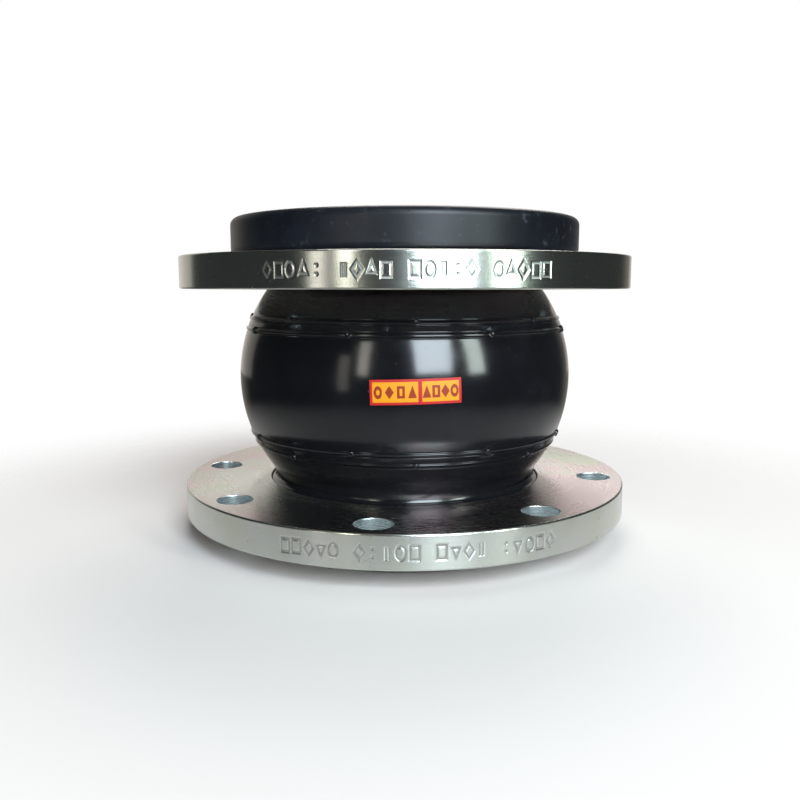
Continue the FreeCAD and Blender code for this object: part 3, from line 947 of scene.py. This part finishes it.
class JOINT_OT_flanges(bpy.types.Operator):
    """Builds both flanges, with drilled holes, turned edges and stamped rims."""

    bl_idname = "joint.flanges"
    bl_label = "Flanges"

    def execute(self, context):
        own = settings()
        look = own.finish
        materials = [rim_steel(look), face_steel(look), drilled_steel(look), stamped_steel(look)]
        self.build(own.flange, "lower_flange", LOWER_FLANGE, True, own.flange.lower_stamp, materials)
        self.build(own.flange, "upper_flange", UPPER_FLANGE, False, own.flange.upper_stamp, materials)
        return {"FINISHED"}

    def build(self, flange, node, box, recess_below, stamp_turn, materials):
        low, high = box[0].z, box[1].z
        recess_z, bore_z, way = (low, high, 1) if recess_below else (high, low, -1)
        seat = recess_z + way * flange.recess_depth
        radius = LOWER_FLANGE[1].x
        edge, fine = flange.edge_r, flange.fine_edge_r
        middle_angle = FRONT + stamp_turn
        angles = self.columns(flange, middle_angle, radius)
        work = bmesh.new()

        rim_rows = np.linspace(low + edge, high - edge, RIM_ROWS)
        depths = stamp_depths(flange, angles, rim_rows, middle_angle, recess_below)
        # faces deep in a mark take the stamped-mark material, whose darker colour is painted shade in the recess
        stamped = (depths[:-1] + np.roll(depths[:-1], -1, axis=1) + depths[1:]) / 3 > 0.75 * flange.stamp_depth
        rim = revolved(np.full(len(rim_rows), radius), rim_rows, angles, -depths)
        self.add_grid(work, rim, np.where(stamped, 3, 0).ravel())
        for level, sign in ((low, 1), (high, -1)):
            corner = [(radius - edge + edge * math.sin(a), level + sign * edge * (1 - math.cos(a)))
                      for a in np.linspace(0, math.pi / 2, 5)]
            self.add_rows(work, corner, angles, 0)
        for inner_r, level, sign in ((flange.recess_r, recess_z, way), (flange.bore_r, bore_z, -way)):
            corner = [(inner_r + fine * (1 - math.sin(a)), level + sign * fine * (1 - math.cos(a)))
                      for a in np.linspace(0, math.pi / 2, 4)]
            self.add_rows(work, corner, angles, 1)
            self.add_drilled_face(work, flange, inner_r + fine, radius - edge, level, angles)
        inside = [(flange.recess_r, recess_z + way * fine), (flange.recess_r, seat), (flange.bore_r + fine, seat)]
        inside += [(flange.bore_r, seat + way * fine), (flange.bore_r, bore_z - way * fine)]
        self.add_rows(work, inside, angles, 1)
        self.add_holes(work, flange, low, high)

        bmesh.ops.remove_doubles(work, verts=work.verts, dist=2e-7)
        bmesh.ops.recalc_face_normals(work, faces=work.faces)
        mesh = bpy.data.meshes.new(node)
        work.to_mesh(mesh)
        work.free()
        for material in materials:
            mesh.materials.append(material)
        mesh.polygons.foreach_set("use_smooth", np.ones(len(mesh.polygons), bool))
        mesh.set_sharp_from_angle(angle=math.radians(40))
        piece = bpy.data.objects.new(f"{node}_ring", mesh)
        bpy.context.scene.collection.objects.link(piece)
        even = piece.modifiers.new("even shading", "WEIGHTED_NORMAL")
        even.keep_sharp = True
        even.weight = 90
        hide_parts(node)
        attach(piece, node)

    @staticmethod
    def columns(flange, middle_angle, radius):
        """Column angles, close together where the rim is stamped."""
        half = (len(STAMPED_ROW) + 1) / 2 * flange.stamp_pitch / radius
        fine = np.linspace(middle_angle - half, middle_angle + half, STAMPED_COLUMNS)
        coarse = np.linspace(middle_angle + half, middle_angle - half + 2 * math.pi, PLAIN_COLUMNS)[1:-1]
        return np.concatenate([fine, coarse])

    @staticmethod
    def add_grid(work, grid, material):
        """material is one number, or one for each face."""
        rows, columns = grid.shape[:2]
        made = [work.verts.new(co) for co in grid.reshape(-1, 3).tolist()]
        faces = quads(rows, columns).tolist()
        for face, number in zip(faces, np.broadcast_to(material, len(faces)).tolist()):
            work.faces.new([made[i] for i in face]).material_index = number

    def add_rows(self, work, section, angles, material):
        section = np.array(section)
        self.add_grid(work, revolved(section[:, 0], section[:, 1], angles), material)

    @staticmethod
    def hole_middles(flange):
        for number in range(HOLE_COUNT):
            angle = FRONT + flange.first_hole + number * 2 * math.pi / HOLE_COUNT
            yield flange.bolt_circle_r * math.cos(angle), flange.bolt_circle_r * math.sin(angle)

    def add_drilled_face(self, work, flange, inner_r, outer_r, z, angles):
        """A flat ring with the holes' mouths left open."""
        loops = [[Vector((r * math.cos(a), r * math.sin(a), z)) for a in angles] for r in (outer_r, inner_r)]
        mouth_r = flange.hole_r + flange.fine_edge_r
        around = circle_of(HOLE_COLUMNS)
        for x, y in self.hole_middles(flange):
            loops.append([Vector((x + mouth_r * math.cos(a), y + mouth_r * math.sin(a), z)) for a in around])
        corners = [work.verts.new(co) for loop in loops for co in loop]
        for triangle in tessellate_polygon(loops):
            work.faces.new([corners[i] for i in triangle]).material_index = 1

    def add_holes(self, work, flange, low, high):
        """The holes' walls, with both mouths rounded."""
        fine = flange.fine_edge_r
        section = [(flange.hole_r + fine * (1 - math.sin(a)), low + fine * (1 - math.cos(a)))
                   for a in np.linspace(0, math.pi / 2, 4)]
        section += [(flange.hole_r + fine * (1 - math.sin(a)), high - fine * (1 - math.cos(a)))
                    for a in np.linspace(math.pi / 2, 0, 4)]
        section = np.array(section)
        for x, y in self.hole_middles(flange):
            grid = revolved(section[:, 0], section[:, 1], circle_of(HOLE_COLUMNS))
            grid[..., 0] += x
            grid[..., 1] += y
            self.add_grid(work, grid, 2)


class JOINT_OT_label(bpy.types.Operator):
    """Builds the printed film: a red border, two yellow panels and plain marks."""

    bl_idname = "joint.label"
    bl_label = "Label"

    def execute(self, context):
        own = settings()
        label = own.label
        look = own.finish
        cell = 0.2 * MM
        columns, rows = round(label.width / cell), round(label.height / cell)
        u = np.linspace(-label.width / 2, label.width / 2, columns + 1)
        v = np.linspace(-label.height / 2, label.height / 2, rows + 1)
        grid_u, grid_v = np.meshgrid(u, v)
        sides = []
        for lift in (label.lift + label.thickness, label.lift):
            sides.append(self.laid(own, grid_u, grid_v, lift).reshape(-1, 3))
        vertices = np.concatenate(sides)
        faces, inks = self.faces(label, (u[:-1] + u[1:]) / 2, (v[:-1] + v[1:]) / 2)
        materials = [
            label_ink("label red", look.label_red),
            label_ink("label yellow", look.label_yellow),
            label_ink("label ink", look.label_ink),
        ]
        piece = new_mesh("label_film", vertices, faces, materials, inks)
        piece.data.set_sharp_from_angle(angle=math.radians(40))
        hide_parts("label")
        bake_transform(piece)
        return {"FINISHED"}

    @staticmethod
    def laid(own, u, v, lift):
        """Points of the film on the barrel, turned askew and lifted off the cover."""
        label, wall = own.label, own.wall
        tilt = label.tilt
        along = u * math.cos(tilt) - v * math.sin(tilt)
        up = u * math.sin(tilt) + v * math.cos(tilt)
        heights = label.middle_z + up
        radii = np.interp(heights, *sampled(parallel(cover_line(wall), lift)).T[::-1])
        angles = FRONT + label.turn + along / wall.crown_r
        radii = radii + unevenness(angles, heights, wall.waviness)
        return np.stack([radii * np.cos(angles), radii * np.sin(angles), heights], axis=2)

    @staticmethod
    def ink_at(label, u, v):
        """0 for the red border, 1 for a yellow panel, 2 for a printed mark."""
        half_w, half_h = label.width / 2, label.height / 2
        divider = 0.9 * MM  # half the width of the border between the panels
        split = 0.045 * label.width
        in_panel = (np.abs(v) < half_h - label.border) & (np.abs(u) < half_w - label.border)
        in_panel &= np.abs(u - split) > divider
        ink = np.where(in_panel, 1, 0)
        half = label.mark_h / 2
        marks = ["disc", "diamond", "block", "wedge"]
        left = (-half_w + label.border, split - divider)
        right = (split + divider, half_w - label.border)
        for start, end in (left, right):
            pitch = (end - start) / len(marks)
            for number, kind in enumerate(marks):
                x = (u - start - pitch * (number + 0.5)) / half
                y = v / half
                if kind == "disc":
                    inside = np.abs(np.hypot(x / 0.62, y / 0.95) - 0.72) < 0.28
                elif kind == "diamond":
                    inside = np.abs(x) / 0.66 + np.abs(y) / 0.98 < 1
                elif kind == "block":
                    inside = (np.abs(x) < 0.56) & (np.abs(y) < 0.92) & ((np.abs(x) > 0.2) | (np.abs(y) > 0.5))
                else:
                    inside = (np.abs(y) < 0.92) & (np.abs(x) < 0.34 - 0.34 * y)
                ink = np.where(inside & in_panel, 2, ink)
            marks = marks[::-1]
        return ink

    def faces(self, label, u, v):
        """The film's faces and the ink of each."""
        rows, columns = len(v), len(u)
        stride = columns + 1
        size = stride * (rows + 1)
        i = np.arange(rows)[:, None] * stride
        j = np.arange(columns)[None, :]
        front = np.stack([i + j, i + j + 1, i + stride + j + 1, i + stride + j], axis=2).reshape(-1, 4)
        back = front[:, ::-1] + size
        loop = list(range(columns)) + [columns + r * stride for r in range(rows)]
        loop += [rows * stride + columns - c for c in range(columns)]
        loop += [(rows - r) * stride for r in range(rows)]
        edge = [(b, a, a + size, b + size) for a, b in zip(loop, loop[1:] + loop[:1])]
        grid_u, grid_v = np.meshgrid(u, v)
        ink = self.ink_at(label, grid_u, grid_v).ravel()
        rest = np.zeros(len(back) + len(edge), int)
        return np.concatenate([front, back, np.array(edge)]), np.concatenate([ink, rest])


class JOINT_OT_ends(bpy.types.Operator):
    """Gives the sealing heads, the bead wires and their fillers their finishes."""

    bl_idname = "joint.ends"
    bl_label = "Heads and beads"

    def execute(self, context):
        look = settings().finish
        rubber, steel = head_rubber(look), bead_steel(look)
        core = cover_rubber("filler rubber", look, 0.4)
        for end in ("lower", "upper"):
            self.paint(f"{end}_sealing_collar", rubber)
            self.paint(f"{end}_bead_filler", core)
            self.paint(f"{end}_bead_wire", steel)
        return {"FINISHED"}

    @staticmethod
    def paint(node, material):
        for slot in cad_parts[node].material_slots:
            slot.material = material


def soft_light(name, azimuth, elevation, distance, size, power, tint, aim):
    """A rectangular light that faces aim and isn't seen itself."""
    data = bpy.data.lights.new(name, "AREA")
    data.shape = "RECTANGLE"
    data.size, data.size_y = size
    data.energy = power
    data.color = tint
    light = bpy.data.objects.new(name, data)
    a, e = math.radians(azimuth), math.radians(elevation)
    away = Vector((math.sin(a) * math.cos(e), -math.cos(a) * math.cos(e), math.sin(e)))
    light.location = aim + away * distance
    light.rotation_euler = away.to_track_quat("Z", "Y").to_euler()
    light.visible_camera = False
    bpy.context.scene.collection.objects.link(light)


class JOINT_OT_stage(bpy.types.Operator):
    """Builds the floor, the lights and the camera."""

    bl_idname = "joint.stage"
    bl_label = "Stage"

    def execute(self, context):
        own = settings()
        self.floor(own.finish)
        self.world()
        aim = Vector((0.0, 0.0, MIDDLE_Z))
        for light in LIGHTS:
            soft_light(*light, aim)
        self.camera(own.stage)
        bpy.context.scene.view_settings.view_transform = "Standard"
        return {"FINISHED"}

    @staticmethod
    def floor(look):
        half = 1.0
        corners = [(-half, -half, 0.0), (half, -half, 0.0), (half, half, 0.0), (-half, half, 0.0)]
        ground = new_mesh("studio_floor", corners, [(0, 1, 2, 3)], [floor_paper(look)])
        ground.location.z = LOWER_COLLAR[0].z - 0.05 * MM

    @staticmethod
    def world():
        """A pale backdrop for the camera, and for mirrors a room: dim in front, with a pale wall behind."""
        world = bpy.data.worlds.new("studio")
        world.use_nodes = True
        tree = world.node_tree
        pale = tree.nodes["Background"]
        pale.inputs["Color"].default_value = (1.0, 1.0, 1.0, 1.0)
        room = tree.nodes.new("ShaderNodeBackground")
        place = tree.nodes.new("ShaderNodeTexCoord")
        parts = tree.nodes.new("ShaderNodeSeparateXYZ")
        ramp = tree.nodes.new("ShaderNodeValToRGB")
        for _ in ROOM[2:]:
            ramp.color_ramp.elements.new(1.0)
        for element, (position, tint) in zip(ramp.color_ramp.elements, ROOM):
            element.position = position
            element.color = (*tint, 1.0)
        half = tree.nodes.new("ShaderNodeMath")
        half.operation = "MULTIPLY_ADD"
        half.inputs[1].default_value = 0.5
        half.inputs[2].default_value = 0.5
        path = tree.nodes.new("ShaderNodeLightPath")
        mix = tree.nodes.new("ShaderNodeMixShader")
        tree.links.new(place.outputs["Generated"], parts.inputs[0])
        tree.links.new(parts.outputs["Y"], half.inputs[0])
        tree.links.new(half.outputs[0], ramp.inputs["Fac"])
        tree.links.new(ramp.outputs["Color"], room.inputs["Color"])
        tree.links.new(path.outputs["Is Camera Ray"], mix.inputs[0])
        tree.links.new(room.outputs[0], mix.inputs[1])
        tree.links.new(pale.outputs[0], mix.inputs[2])
        tree.links.new(mix.outputs[0], tree.nodes["World Output"].inputs["Surface"])
        bpy.context.scene.world = world

    @staticmethod
    def camera(stage):
        data = bpy.data.cameras.new("camera")
        data.lens = stage.lens_mm
        data.clip_start = 0.01
        camera = bpy.data.objects.new("camera", data)
        camera.location = (stage.camera_x, stage.camera_y, stage.camera_z)
        camera.rotation_euler = (math.pi / 2 - stage.camera_dip, 0.0, 0.0)
        bpy.context.scene.collection.objects.link(camera)
        bpy.context.scene.camera = camera


class JointSettings(bpy.types.PropertyGroup):
    """All sizes and colours."""

    wall: bpy.props.PointerProperty(name="Wall", type=WallSizes)
    flange: bpy.props.PointerProperty(name="Flanges", type=FlangeSizes)
    label: bpy.props.PointerProperty(name="Label", type=LabelSizes)
    finish: bpy.props.PointerProperty(name="Finishes", type=Finishes)
    stage: bpy.props.PointerProperty(name="Stage", type=StageSizes)


OPERATORS = [
    JOINT_OT_cover, JOINT_OT_liner, JOINT_OT_carcass, JOINT_OT_vent_nubs,
    JOINT_OT_flanges, JOINT_OT_label, JOINT_OT_ends, JOINT_OT_stage,
]


class JOINT_PT_panel(bpy.types.Panel):
    """Lists the pieces in the sidebar."""

    bl_idname = "JOINT_PT_panel"
    bl_label = "Expansion joint"
    bl_space_type = "VIEW_3D"
    bl_region_type = "UI"
    bl_category = "Joint"

    def draw(self, context):
        for operator in OPERATORS:
            self.layout.operator(operator.bl_idname)


CLASSES = [
    WallSizes, FlangeSizes, LabelSizes, Finishes, StageSizes, JointSettings, *OPERATORS, JOINT_PT_panel,
]


def register():
    for made in CLASSES:
        bpy.utils.register_class(made)
    bpy.types.Scene.joint_settings = bpy.props.PointerProperty(type=JointSettings)


def unregister():
    del bpy.types.Scene.joint_settings
    for made in reversed(CLASSES):
        bpy.utils.unregister_class(made)


def main():
    register()
    for operator in OPERATORS:
        family, name = operator.bl_idname.split(".")
        getattr(getattr(bpy.ops, family), name)()


if __name__ == "__main__":
    main()
